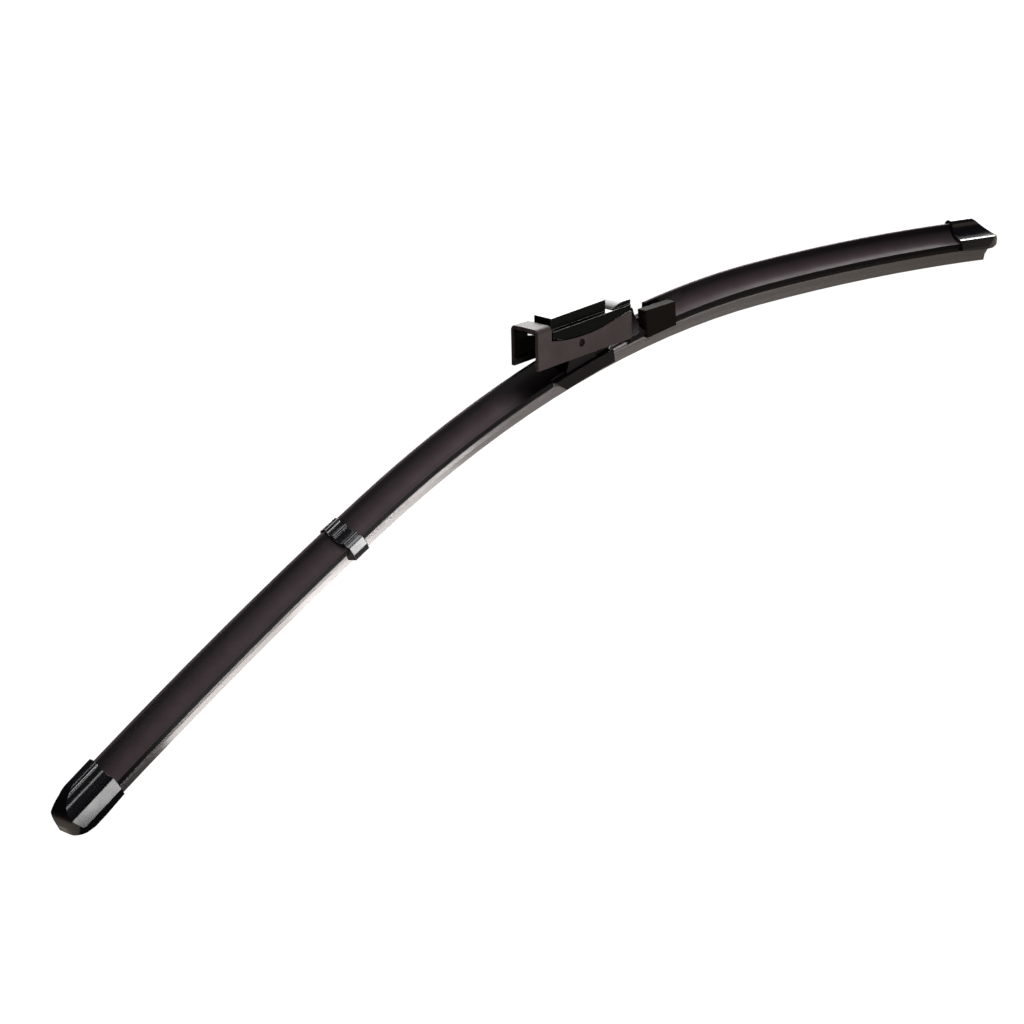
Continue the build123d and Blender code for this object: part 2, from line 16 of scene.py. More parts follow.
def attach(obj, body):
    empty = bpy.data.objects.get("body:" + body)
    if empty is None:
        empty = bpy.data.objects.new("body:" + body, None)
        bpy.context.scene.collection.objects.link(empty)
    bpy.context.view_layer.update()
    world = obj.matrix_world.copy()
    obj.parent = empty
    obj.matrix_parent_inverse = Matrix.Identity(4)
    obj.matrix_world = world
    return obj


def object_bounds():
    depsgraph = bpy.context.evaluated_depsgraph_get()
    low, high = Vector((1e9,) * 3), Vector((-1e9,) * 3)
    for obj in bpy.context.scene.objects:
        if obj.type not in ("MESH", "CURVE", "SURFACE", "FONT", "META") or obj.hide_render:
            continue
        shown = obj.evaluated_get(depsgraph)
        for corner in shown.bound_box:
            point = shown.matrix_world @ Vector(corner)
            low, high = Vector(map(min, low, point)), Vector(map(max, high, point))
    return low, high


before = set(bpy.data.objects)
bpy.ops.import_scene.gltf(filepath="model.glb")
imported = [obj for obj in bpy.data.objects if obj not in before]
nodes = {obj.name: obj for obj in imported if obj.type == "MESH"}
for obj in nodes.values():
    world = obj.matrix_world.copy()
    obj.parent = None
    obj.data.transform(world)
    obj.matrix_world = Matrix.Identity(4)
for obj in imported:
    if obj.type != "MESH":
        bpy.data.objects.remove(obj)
cad_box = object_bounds()
print("solids:", ", ".join(sorted(nodes)))
print("solid box:", cad_box)

# %% [markdown]
# # The camera
# A product camera stands to the front left of the blade and above it, with a long lens so that the two ends
# keep nearly the same scale. It is rolled a little, because the blade was laid across the picture by eye.
# The place is built from an azimuth, an elevation and a roll, which is easier to read than a matrix. Two
# small steps, sideways and down, then bring the whole blade into the picture.

# %% Camera at the picture's angle
AZIMUTH = math.radians(-43.583)
ELEVATION = math.radians(26.564)
ROLL = math.radians(-8.8215)
DISTANCE = 1.49016
SIDE_STEP = -0.02528
RISE_STEP = -0.07678
FOCAL_PIXELS = 3350.05
PICTURE_PIXELS = 1024
SENSOR_MM = 36.0


def camera_axes():
    """Right, up and backward directions of the camera."""
    back = Vector((
        math.sin(AZIMUTH) * math.cos(ELEVATION),
        -math.cos(AZIMUTH) * math.cos(ELEVATION),
        math.sin(ELEVATION),
    ))
    level = Vector((math.cos(AZIMUTH), math.sin(AZIMUTH), 0))
    rise = back.cross(level)
    right = math.cos(ROLL) * level + math.sin(ROLL) * rise
    up = -math.sin(ROLL) * level + math.cos(ROLL) * rise
    return right, up, back


right, up, back = camera_axes()
lens = bpy.data.cameras.new("product_camera")
lens.sensor_width = SENSOR_MM
lens.lens = FOCAL_PIXELS / PICTURE_PIXELS * SENSOR_MM
camera = bpy.data.objects.new("product_camera", lens)
stand = DISTANCE * back + SIDE_STEP * right + RISE_STEP * up
camera.matrix_world = Matrix.Translation(stand) @ Matrix((right, up, back)).transposed().to_4x4()
bpy.context.scene.collection.objects.link(camera)
bpy.context.scene.camera = camera
print("camera at", [round(v, 3) for v in stand], "lens", round(lens.lens, 1), "mm")

# %% [markdown]
# # One way to write a material
# Every finish below is a small tree of nodes. A few helpers keep them short: one turns a paint-chart colour
# into the linear numbers that the shader wants, one adds a node with its settings and its links, and one
# works out the scale of a pattern from the size of its grain in millimetres.

# %% Colour and node helpers
MM = 0.001


def linear(code):
    """An sRGB hex colour as linear red, green, blue and alpha."""
    channels = [int(code[k:k + 2], 16) / 255 for k in (1, 3, 5)]
    return [c / 12.92 if c <= 0.04045 else ((c + 0.055) / 1.055) ** 2.4 for c in channels] + [1.0]


def add(tree, kind, settings=None, links=None):
    """A new node. settings set its properties or inputs, and links join its inputs to other outputs."""
    node = tree.nodes.new(kind)
    for key, value in (settings or {}).items():
        if isinstance(key, int) or key in node.inputs:
            node.inputs[key].default_value = value
        else:
            setattr(node, key, value)
    for key, output in (links or {}).items():
        tree.links.new(output, node.inputs[key])
    return node


def new_material(name):
    """An empty material and its tree."""
    material = bpy.data.materials.new(name)
    material.use_nodes = True
    material.node_tree.nodes.clear()
    return material, material.node_tree


def per_mm(size):
    """Pattern scale for a feature of that size in millimetres, with coordinates in metres."""
    return 1 / (size * MM)


def dress(material, *names):
    """Give CAD nodes a finish."""
    for name in names:
        nodes[name].data.materials.clear()
        nodes[name].data.materials.append(material)
    print(material.name, len(material.node_tree.nodes), "nodes on", ", ".join(names))


print("middle grey #808080 is", round(linear("#808080")[0], 3), "in linear numbers")

# %% [markdown]
# # Extruded spoiler rubber
# The two spoilers are extruded EPDM rubber. The die leaves faint draw lines along the length and the surface
# is a soft satin. Faces that look up are painted a lighter purple-brown, which is partly the bloom that
# rubber gets from its own wax and partly a painted sheen of the light from above, and the upright faces stay
# black.
# The rubber under the adapter is kept black too, as painted shade from the adapter.
#
# The bloom and painted sheen are worked out first, as a number from 0 to 1: how far a face looks up, times a
# soft mottle, times how far the place is out of the adapter's painted shade. The draw lines are noise that
# is stretched along the blade, because a die leaves the same marks all the way along.

# %% Where the bloom and painted sheen lie
MOTTLE_MM = 9.0
THINNEST_BLOOM = 0.6
SHEEN_AND_BLOOM_STARTS_UP = 0.2
SHEEN_AND_BLOOM_FULL_UP = 0.9
ADAPTER_SHADE_MM = 36.0
ADAPTER_SHADE_CLEAR_MM = 52.0

spoiler_rubber, tree = new_material("extruded_epdm_rubber")
place = add(tree, "ShaderNodeTexCoord")
facing = add(tree, "ShaderNodeSeparateXYZ", None, {"Vector": place.outputs["Normal"]})
# Faces that look up get the lighter colour: partly bloom, partly painted sheen.
upward = add(tree, "ShaderNodeMapRange", {"From Min": SHEEN_AND_BLOOM_STARTS_UP, "From Max": SHEEN_AND_BLOOM_FULL_UP},
             {"Value": facing.outputs["Z"]})
mottle = add(tree, "ShaderNodeTexNoise", {"Scale": per_mm(MOTTLE_MM), "Detail": 4.0},
             {"Vector": place.outputs["Object"]})
patches = add(tree, "ShaderNodeMapRange", {"To Min": THINNEST_BLOOM, "To Max": 1.0},
              {"Value": mottle.outputs["Fac"]})
upward_bloom_and_sheen = add(tree, "ShaderNodeMath", {"operation": "MULTIPLY"},
           {0: upward.outputs["Result"], 1: patches.outputs["Result"]})
along = add(tree, "ShaderNodeSeparateXYZ", None, {"Vector": place.outputs["Object"]})
distance = add(tree, "ShaderNodeMath", {"operation": "ABSOLUTE"}, {0: along.outputs["X"]})
# Painted shade under the adapter: 0 near the pivot, rising to 1 clear of the adapter, so the rubber there
# stays black.
clear_of_adapter_shade = add(tree, "ShaderNodeMapRange", {"From Min": ADAPTER_SHADE_MM * MM, "From Max": ADAPTER_SHADE_CLEAR_MM * MM},
              {"Value": distance.outputs["Value"]})
bloom_and_sheen = add(tree, "ShaderNodeMath", {"operation": "MULTIPLY"},
            {0: upward_bloom_and_sheen.outputs["Value"], 1: clear_of_adapter_shade.outputs["Result"]})
print("bloom starts", ADAPTER_SHADE_MM, "mm from the pivot and is full at", ADAPTER_SHADE_CLEAR_MM, "mm")

# %% Spoiler rubber
DRAWN_OUT = (0.02, 1, 1)
DRAW_LINE_MM = 0.35
DRAW_LINE_DEPTH_MM = 0.05
CLEAN_RUBBER = "#080607"
BLOOM_AND_SHEEN_RUBBER = "#3a3134"

drawn = add(tree, "ShaderNodeMapping", {"Scale": DRAWN_OUT}, {"Vector": place.outputs["Object"]})
lines = add(tree, "ShaderNodeTexNoise", {"Scale": per_mm(DRAW_LINE_MM), "Detail": 2.0},
            {"Vector": drawn.outputs["Vector"]})
relief = add(tree, "ShaderNodeBump", {"Strength": 0.15, "Distance": DRAW_LINE_DEPTH_MM * MM},
             {"Height": lines.outputs["Fac"]})
# The lighter purple-brown is partly the rubber's bloom and partly painted sheen.
tint = add(tree, "ShaderNodeMix",
           {"data_type": "RGBA", "A": linear(CLEAN_RUBBER), "B": linear(BLOOM_AND_SHEEN_RUBBER)},
           {"Factor": bloom_and_sheen.outputs["Value"]})
satin = add(tree, "ShaderNodeMapRange", {"To Min": 0.6, "To Max": 0.5}, {"Value": bloom_and_sheen.outputs["Value"]})
shader = add(tree, "ShaderNodeBsdfPrincipled", {"IOR": 1.5, "Specular IOR Level": 0.06}, {
    "Base Color": tint.outputs["Result"],
    "Roughness": satin.outputs["Result"],
    "Normal": relief.outputs["Normal"],
})
add(tree, "ShaderNodeOutputMaterial", None, {"Surface": shader.outputs["BSDF"]})
dress(spoiler_rubber, "left_spoiler", "right_spoiler")

# %% [markdown]
# # The wiping rubber
# The element between the rails is moulded natural rubber. Its lip is coated with graphite, so that it slides
# quietly on dry glass, and that gives the flanks a grey metallic sheen that plain rubber lacks. The edges of
# the section already carry the long lines, so the finish only adds fine streaks along the lip.

# %% Graphite-coated lip rubber
STREAK_MM = 0.25
STREAK_DEPTH_MM = 0.03

lip_rubber, tree = new_material("graphite_coated_rubber")
place = add(tree, "ShaderNodeTexCoord")
drawn = add(tree, "ShaderNodeMapping", {"Scale": DRAWN_OUT}, {"Vector": place.outputs["Object"]})
streaks = add(tree, "ShaderNodeTexNoise", {"Scale": per_mm(STREAK_MM), "Detail": 3.0},
              {"Vector": drawn.outputs["Vector"]})
tint = add(tree, "ShaderNodeMix", {"data_type": "RGBA", "A": linear("#5a5756"), "B": linear("#827e7d")},
           {"Factor": streaks.outputs["Fac"]})
sheen = add(tree, "ShaderNodeMapRange", {"To Min": 0.3, "To Max": 0.45}, {"Value": streaks.outputs["Fac"]})
relief = add(tree, "ShaderNodeBump", {"Strength": 0.2, "Distance": STREAK_DEPTH_MM * MM},
             {"Height": streaks.outputs["Fac"]})
shader = add(tree, "ShaderNodeBsdfPrincipled", {"Metallic": 0.7}, {
    "Base Color": tint.outputs["Result"],
    "Roughness": sheen.outputs["Result"],
    "Normal": relief.outputs["Normal"],
})
add(tree, "ShaderNodeOutputMaterial", None, {"Surface": shader.outputs["BSDF"]})
dress(lip_rubber, "wiper_rubber")

# %% [markdown]
# # Spring steel
# The two rails are rolled strip. Rolling leaves a fine grain along the strip, and the metal stays bright
# because the claws cover most of it. The grain goes into the roughness alone, because it is too shallow to
# bend a reflection.

# %% Rolled spring steel
ROLLED_OUT = (0.01, 1, 1)
ROLL_GRAIN_MM = 0.15

rail_steel, tree = new_material("rolled_spring_steel")
place = add(tree, "ShaderNodeTexCoord")
rolled = add(tree, "ShaderNodeMapping", {"Scale": ROLLED_OUT}, {"Vector": place.outputs["Object"]})
grain = add(tree, "ShaderNodeTexNoise", {"Scale": per_mm(ROLL_GRAIN_MM), "Detail": 2.0},
            {"Vector": rolled.outputs["Vector"]})
polish = add(tree, "ShaderNodeMapRange", {"To Min": 0.25, "To Max": 0.4}, {"Value": grain.outputs["Fac"]})
shader = add(tree, "ShaderNodeBsdfPrincipled", {"Metallic": 1.0, "Base Color": linear("#9a989a")},
             {"Roughness": polish.outputs["Result"]})
add(tree, "ShaderNodeOutputMaterial", None, {"Surface": shader.outputs["BSDF"]})
dress(rail_steel, "front_spring_rail", "rear_spring_rail")

# %% [markdown]
# # Glossy caps and clip
# The end caps and the clip are moulded ABS from a polished tool. They are the glossiest pieces, almost
# black, with a shallow waviness that breaks up long reflections, as thin mouldings have. A Bevel node rounds
# their edges in the shading, so that each edge catches a thin line of light.

# %% Polished black ABS
SINK_MM = 6.0
SINK_DEPTH_MM = 0.1
CAP_EDGE_MM = 0.4
EDGE_SAMPLES = 6

cap_plastic, tree = new_material("polished_black_abs")
place = add(tree, "ShaderNodeTexCoord")
sink = add(tree, "ShaderNodeTexNoise", {"Scale": per_mm(SINK_MM), "Detail": 1.0},
           {"Vector": place.outputs["Object"]})
edge = add(tree, "ShaderNodeBevel", {"samples": EDGE_SAMPLES, "Radius": CAP_EDGE_MM * MM})
wave = add(tree, "ShaderNodeBump", {"Strength": 0.1, "Distance": SINK_DEPTH_MM * MM},
           {"Height": sink.outputs["Fac"], "Normal": edge.outputs["Normal"]})
gloss = add(tree, "ShaderNodeMapRange", {"To Min": 0.16, "To Max": 0.22}, {"Value": sink.outputs["Fac"]})
shader = add(tree, "ShaderNodeBsdfPrincipled", {"IOR": 1.54, "Base Color": linear("#0b0a0d")},
             {"Roughness": gloss.outputs["Result"], "Normal": wave.outputs["Normal"]})
add(tree, "ShaderNodeOutputMaterial", None, {"Surface": shader.outputs["BSDF"]})
dress(cap_plastic, "left_end_cap", "right_end_cap", "spoiler_clip")

# %% [markdown]
# # Spark-eroded nylon
# The adapter and the spoiler holder are glass-filled nylon. Their tools are spark eroded, which leaves an
# even fine grain and a satin, slightly brown-grey look. The grain is drawn about three times its real size,
# because the real one is finer than a picture of the whole blade can show. The lever and the spacer are
# nylon too, in other colours, so one function makes all four finishes.
#
# The adapter's faces that look into its channel are painted near black, as painted shade inside the channel,
# and the rest keep the grey-brown grain. A face looks inward when its normal points back to the middle of
# the blade or down from the roof.

# %% Painted shade inside the channel
CHANNEL_HALF_MM = 6.3
LOOKS_IN = -0.3
LOOKS_OUT = 0.1


def paint_channel_shade(tree, place, outside, channel_shade):
    """Paint a near black shade where a face looks into the channel."""
    spot = add(tree, "ShaderNodeSeparateXYZ", None, {"Vector": place.outputs["Object"]})
    facing = add(tree, "ShaderNodeSeparateXYZ", None, {"Vector": place.outputs["Normal"]})
    across = add(tree, "ShaderNodeMath", {"operation": "MULTIPLY"},
                 {0: spot.outputs["Y"], 1: facing.outputs["Y"]})
    outward = add(tree, "ShaderNodeMath", {"operation": "MULTIPLY_ADD", 1: per_mm(CHANNEL_HALF_MM)},
                  {0: across.outputs["Value"], 2: facing.outputs["Z"]})
    out_of_channel_shade = add(tree, "ShaderNodeMapRange", {"From Min": LOOKS_IN, "From Max": LOOKS_OUT},
                    {"Value": outward.outputs["Value"]})
    tint = add(tree, "ShaderNodeMix", {"data_type": "RGBA", "A": linear(channel_shade)},
               {"Factor": out_of_channel_shade.outputs["Result"], "B": outside})
    return tint.outputs["Result"]


print("channel half width:", CHANNEL_HALF_MM, "mm")

# %% [markdown]
# A painted highlight on the ledge
# The lever is plain black, with a pale highlight painted along the ledge below its spine, where a rounded
# edge would catch the light. A Bevel node gives the normal that a rounded edge would have. Where that looks
# further up than the flat face does, the side is rounding over into a ledge, and that is where the painted
# highlight goes.

# %% Painted ledge highlight
HIGHLIGHT_STARTS = 0.06
HIGHLIGHT_FULL = 0.5


def paint_ledge_highlight(tree, place, edge, tone, ledge_highlight_colour):
    """Paint a pale highlight on the sides where they round over into a ledge."""
    rounded = add(tree, "ShaderNodeVectorTransform",
                  {"vector_type": "NORMAL", "convert_from": "WORLD", "convert_to": "OBJECT"},
                  {"Vector": edge.outputs["Normal"]})
    rounded_up = add(tree, "ShaderNodeSeparateXYZ", None, {"Vector": rounded.outputs["Vector"]})
    flat_up = add(tree, "ShaderNodeSeparateXYZ", None, {"Vector": place.outputs["Normal"]})
    lift = add(tree, "ShaderNodeMath", {"operation": "SUBTRACT"},
               {0: rounded_up.outputs["Z"], 1: flat_up.outputs["Z"]})
    ledge_highlight = add(tree, "ShaderNodeMapRange", {"From Min": HIGHLIGHT_STARTS, "From Max": HIGHLIGHT_FULL},
               {"Value": lift.outputs["Value"]})
    tint = add(tree, "ShaderNodeMix", {"data_type": "RGBA", "B": linear(ledge_highlight_colour)},
               {"Factor": ledge_highlight.outputs["Result"], "A": tone})
    return tint.outputs["Result"]


print("wear runs from a lift of", HIGHLIGHT_STARTS, "to", HIGHLIGHT_FULL)

# %% Nylon finishes
EROSION_MM = 0.4
EROSION_DEPTH_MM = 0.04
CLOUD_MM = 12.0
EDGE_MM = 0.35
ROUGHNESS_SPREAD = 0.06


def eroded_nylon(name, dark, light, roughness, gloss, channel_shade=None, ledge_highlight_colour=None):
    """A satin moulding with an eroded grain between two colours, maybe with painted shade or a painted
    highlight.
    """
    material, tree = new_material(name)
    place = add(tree, "ShaderNodeTexCoord")
    grit = add(tree, "ShaderNodeTexNoise", {"Scale": per_mm(EROSION_MM), "Detail": 3.0},
               {"Vector": place.outputs["Object"]})
    cloud = add(tree, "ShaderNodeTexNoise", {"Scale": per_mm(CLOUD_MM), "Detail": 3.0},
                {"Vector": place.outputs["Object"]})
    tint = add(tree, "ShaderNodeMix", {"data_type": "RGBA", "A": linear(dark), "B": linear(light)},
               {"Factor": cloud.outputs["Fac"]})
    edge = add(tree, "ShaderNodeBevel", {"samples": EDGE_SAMPLES, "Radius": EDGE_MM * MM})
    tone = tint.outputs["Result"]
    if channel_shade:
        tone = paint_channel_shade(tree, place, tone, channel_shade)
    if ledge_highlight_colour:
        tone = paint_ledge_highlight(tree, place, edge, tone, ledge_highlight_colour)
    relief = add(tree, "ShaderNodeBump", {"Strength": 0.25, "Distance": EROSION_DEPTH_MM * MM},
                 {"Height": grit.outputs["Fac"], "Normal": edge.outputs["Normal"]})
    satin = add(tree, "ShaderNodeMapRange",
                {"To Min": roughness - ROUGHNESS_SPREAD, "To Max": roughness + ROUGHNESS_SPREAD},
                {"Value": grit.outputs["Fac"]})
    shader = add(tree, "ShaderNodeBsdfPrincipled", {"IOR": 1.53, "Specular IOR Level": gloss}, {
        "Base Color": tone,
        "Roughness": satin.outputs["Result"],
        "Normal": relief.outputs["Normal"],
    })
    add(tree, "ShaderNodeOutputMaterial", None, {"Surface": shader.outputs["BSDF"]})
    return material


# Faces inside the adapter's channel are painted near black, as painted shade.
adapter_nylon = eroded_nylon("glass_filled_nylon_adapter", "#171211", "#332a29", roughness=0.62, gloss=0.15,
                             channel_shade="#020202")
holder_nylon = eroded_nylon("glass_filled_nylon_holder", "#0a0806", "#120e0b", roughness=0.75, gloss=0.02)
# The lever gets a pale painted highlight along its ledge.
lever_nylon = eroded_nylon("black_nylon_lever", "#020302", "#050605", roughness=0.2, gloss=0.06,
                           ledge_highlight_colour="#868883")
spacer_nylon = eroded_nylon("natural_nylon_spacer", "#b8b09f", "#c9c2b2", roughness=0.5, gloss=0.4)
dress(adapter_nylon, "adapter_body")
dress(holder_nylon, "spoiler_holder")
dress(lever_nylon, "lock_lever")
dress(spacer_nylon, "pivot_spacer")

# %% [markdown]
# # Coated steel
# The bracket is folded from sheet and dip coated in black. The coat is smooth with a little orange peel, and
# it pools softly, so edges catch the light. The rivet is steel, coloured almost black as painted shade, so
# the pivot reads as a dark hole.

# %% Coated bracket
PEEL_MM = 1.1
PEEL_DEPTH_MM = 0.05
FOLD_MM = 0.4

bracket_coat, tree = new_material("dip_coated_steel")
place = add(tree, "ShaderNodeTexCoord")
peel = add(tree, "ShaderNodeTexNoise", {"Scale": per_mm(PEEL_MM), "Detail": 2.0},
           {"Vector": place.outputs["Object"]})
fold = add(tree, "ShaderNodeBevel", {"samples": EDGE_SAMPLES, "Radius": FOLD_MM * MM})
skin = add(tree, "ShaderNodeBump", {"Strength": 0.2, "Distance": PEEL_DEPTH_MM * MM},
           {"Height": peel.outputs["Fac"], "Normal": fold.outputs["Normal"]})
gloss = add(tree, "ShaderNodeMapRange", {"To Min": 0.28, "To Max": 0.4}, {"Value": peel.outputs["Fac"]})
shader = add(tree, "ShaderNodeBsdfPrincipled",
             {"IOR": 1.5, "Specular IOR Level": 0.06, "Base Color": linear("#100d0e")},
             {"Roughness": gloss.outputs["Result"], "Normal": skin.outputs["Normal"]})
add(tree, "ShaderNodeOutputMaterial", None, {"Surface": shader.outputs["BSDF"]})
dress(bracket_coat, "rail_bracket")

# %% Rivet steel with painted shade
RIVET_GRAIN_MM = 0.5

rivet_steel, tree = new_material("rivet_steel_painted_dark")
place = add(tree, "ShaderNodeTexCoord")
grain = add(tree, "ShaderNodeTexNoise", {"Scale": per_mm(RIVET_GRAIN_MM), "Detail": 2.0},
            {"Vector": place.outputs["Object"]})
dull = add(tree, "ShaderNodeMapRange", {"To Min": 0.35, "To Max": 0.5}, {"Value": grain.outputs["Fac"]})
# The near black base colour is painted shade: it makes the pivot read as a dark hole.
shader = add(tree, "ShaderNodeBsdfPrincipled", {"Metallic": 1.0, "Base Color": linear("#171314")},
             {"Roughness": dull.outputs["Result"]})
add(tree, "ShaderNodeOutputMaterial", None, {"Surface": shader.outputs["BSDF"]})
dress(rivet_steel, "pivot_rivet")

# %% [markdown]
# # Spoiler heels
# Each spoiler runs on a little towards the middle in the same rubber, which closes the gap beside the
# bracket. The heel has the spoiler's own section, so it is cut from a copy of the spoiler instead of drawn
# again. The middle of the blade is one arc, and turning the cut length about the arc's centre slides it
# along the blade without changing its shape. The right heel grips the rails. The left one is trimmed flat
# and stands on the bracket.

# %% Heels cut from the spoilers
BOW_RADII = (596, 612, 1990, 2110, 2230)
BOW_ARC_LENGTH = 66
RAIL_DEPTH = 13.05 * MM
ARC_RADIUS = BOW_RADII[0] * MM
BRACKET_TOP = 2.5 * MM
MERGE_DISTANCE = 0.002 * MM


def trim(shape, place, outward):
    """Cut a closed shape by a plane, drop what lies outward of it and close the cut."""
    everything = shape.verts[:] + shape.edges[:] + shape.faces[:]
    cut = bmesh.ops.bisect_plane(shape, geom=everything, plane_co=place, plane_no=outward, clear_outer=True)
    rim = [item for item in cut["geom_cut"] if isinstance(item, bmesh.types.BMEdge)]
    bmesh.ops.triangle_fill(shape, edges=rim, use_beauty=True, use_dissolve=False)


def spoiler_heel(name, node, near, far, slide, on_bracket):
    """A length of a spoiler between two places along the blade, slid to its own place, in millimetres."""
    shape = bmesh.new()
    shape.from_mesh(nodes[node].data)
    bmesh.ops.remove_doubles(shape, verts=shape.verts, dist=MERGE_DISTANCE)
    trim(shape, (near * MM, 0, 0), (-1, 0, 0))
    trim(shape, (far * MM, 0, 0), (1, 0, 0))
    centre = Vector((0, 0, -RAIL_DEPTH - ARC_RADIUS))
    turn = Matrix.Rotation(slide * MM / ARC_RADIUS, 4, "Y")
    about_centre = Matrix.Translation(centre) @ turn @ Matrix.Translation(-centre)
    bmesh.ops.transform(shape, matrix=about_centre, verts=shape.verts)
    if on_bracket:
        trim(shape, (0, 0, BRACKET_TOP - RAIL_DEPTH), (0, 0, -1))
    bmesh.ops.recalc_face_normals(shape, faces=shape.faces)
    mesh = bpy.data.meshes.new(name)
    shape.to_mesh(mesh)
    shape.free()
    mesh.materials.append(spoiler_rubber)
    heel = bpy.data.objects.new(name, mesh)
    bpy.context.scene.collection.objects.link(heel)
    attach(heel, "blade")
    reach = [round(vertex.co.x / MM, 1) for vertex in mesh.vertices]
    print(name, len(mesh.polygons), "faces, from", min(reach), "to", max(reach), "mm along the blade")


spoiler_heel("left_spoiler_heel", "left_spoiler", near=-28.5, far=-20.4, slide=7.9, on_bracket=True)
spoiler_heel("right_spoiler_heel", "right_spoiler", near=52.8, far=65.8, slide=-20.8, on_bracket=False)

# %% [markdown]
# # Ribs along the lip
# The flanks of the lip carry fine moulded ribs from end to end. They follow the bow, so Geometry Nodes is
# the natural tool: one line along the rails is copied for each rib, each copy is moved to its place on the
# flank, and a small round is swept along it. The line is worked out from the same five arcs as the rails,
# and each of its points carries the direction that is square to the blade there, because that turns along
# the bow.

# %% A line along the rails
RIB_END = 313
STATION = 6


def rail_point(along):
    """Place and upright direction on the rail line, at a length in millimetres from the middle."""
    side = 1 if along >= 0 else -1
    left_over, angle, x, z = abs(along), 0.0, 0.0, 0.0
    for radius in BOW_RADII:
        run = min(left_over, BOW_ARC_LENGTH)
        turn = run / radius
        x += radius * (math.sin(angle + turn) - math.sin(angle))
        z -= radius * (math.cos(angle) - math.cos(angle + turn))
        angle += turn
        left_over -= run
    return (side * x * MM, 0, z * MM - RAIL_DEPTH), (side * math.sin(angle), 0, math.cos(angle))


stations = [rail_point(min(-RIB_END + k * STATION, RIB_END)) for k in range(2 * RIB_END // STATION + 2)]
places = [spot for spot, upright in stations]
steps = [(k, k + 1) for k in range(len(stations) - 1)]
rail_line = bpy.data.meshes.new("lip_ribs")
rail_line.from_pydata(places, steps, [])
rise = rail_line.attributes.new("rise", "FLOAT_VECTOR", "POINT")
rise.data.foreach_set("vector", [value for spot, upright in stations for value in upright])
print("rail line:", len(stations), "points")

# %% Inputs of the rib tree
RIB_INPUTS = {
    "Ribs each side": ("NodeSocketInt", 3),
    "Upper half width": ("NodeSocketFloat", 2.02 * MM),
    "Lower half width": ("NodeSocketFloat", 0.98 * MM),
    "Upper depth": ("NodeSocketFloat", -3.95 * MM),
    "Lower depth": ("NodeSocketFloat", -5.95 * MM),
    "Rib radius": ("NodeSocketFloat", 0.14 * MM),
    "Rubber": ("NodeSocketMaterial", lip_rubber),
}

rib_tree = bpy.data.node_groups.new("flank_ribs", "GeometryNodeTree")
rib_tree.interface.new_socket("Line", in_out="INPUT", socket_type="NodeSocketGeometry")
identifiers = {}
for title, (kind, value) in RIB_INPUTS.items():
    identifiers[title] = rib_tree.interface.new_socket(title, in_out="INPUT", socket_type=kind).identifier
rib_tree.interface.new_socket("Ribs", in_out="OUTPUT", socket_type="NodeSocketGeometry")
given = add(rib_tree, "NodeGroupInput").outputs
print("rib tree inputs:", ", ".join(identifiers))

# %% One copy of the line for each rib
doubled = add(rib_tree, "ShaderNodeMath", {"operation": "MULTIPLY", 1: 2}, {0: given["Ribs each side"]})
curve = add(rib_tree, "GeometryNodeMeshToCurve", None, {"Mesh": given["Line"]})
copies = add(rib_tree, "GeometryNodeDuplicateElements", {"domain": "SPLINE"},
             {"Geometry": curve.outputs["Curve"], "Amount": doubled.outputs["Value"]})
last = add(rib_tree, "ShaderNodeMath", {"operation": "SUBTRACT", 1: 1}, {0: given["Ribs each side"]})
rank = add(rib_tree, "ShaderNodeMath", {"operation": "FLOORED_MODULO"},
           {0: copies.outputs["Duplicate Index"], 1: given["Ribs each side"]})
rear = add(rib_tree, "ShaderNodeMath", {"operation": "GREATER_THAN"},
           {0: copies.outputs["Duplicate Index"], 1: last.outputs["Value"]})
print("rib tree:", len(rib_tree.nodes), "nodes count the copies and tell front from rear")

# %% Place of each rib on its flank
out_to = add(rib_tree, "ShaderNodeMapRange", None, {
    "Value": rank.outputs["Value"],
    "From Max": last.outputs["Value"],
    "To Min": given["Upper half width"],
    "To Max": given["Lower half width"],
})
down_to = add(rib_tree, "ShaderNodeMapRange", None, {
    "Value": rank.outputs["Value"],
    "From Max": last.outputs["Value"],
    "To Min": given["Upper depth"],
    "To Max": given["Lower depth"],
})
side = add(rib_tree, "ShaderNodeMapRange", {"To Min": -1.0, "To Max": 1.0}, {"Value": rear.outputs["Value"]})
across = add(rib_tree, "ShaderNodeMath", {"operation": "MULTIPLY"},
             {0: side.outputs["Result"], 1: out_to.outputs["Result"]})
sideways = add(rib_tree, "ShaderNodeCombineXYZ", None, {"Y": across.outputs["Value"]})
upright = add(rib_tree, "GeometryNodeInputNamedAttribute", {"data_type": "FLOAT_VECTOR", "Name": "rise"})
sunk = add(rib_tree, "ShaderNodeVectorMath", {"operation": "SCALE"},
           {"Vector": upright.outputs["Attribute"], "Scale": down_to.outputs["Result"]})
offset = add(rib_tree, "ShaderNodeVectorMath", {"operation": "ADD"},
             {0: sideways.outputs["Vector"], 1: sunk.outputs["Vector"]})
moved = add(rib_tree, "GeometryNodeSetPosition", None,
            {"Geometry": copies.outputs["Geometry"], "Offset": offset.outputs["Vector"]})
print("rib tree:", len(rib_tree.nodes), "nodes up to the moved copies")

# %% A round swept along each copy
BEAD_SIDES = 6

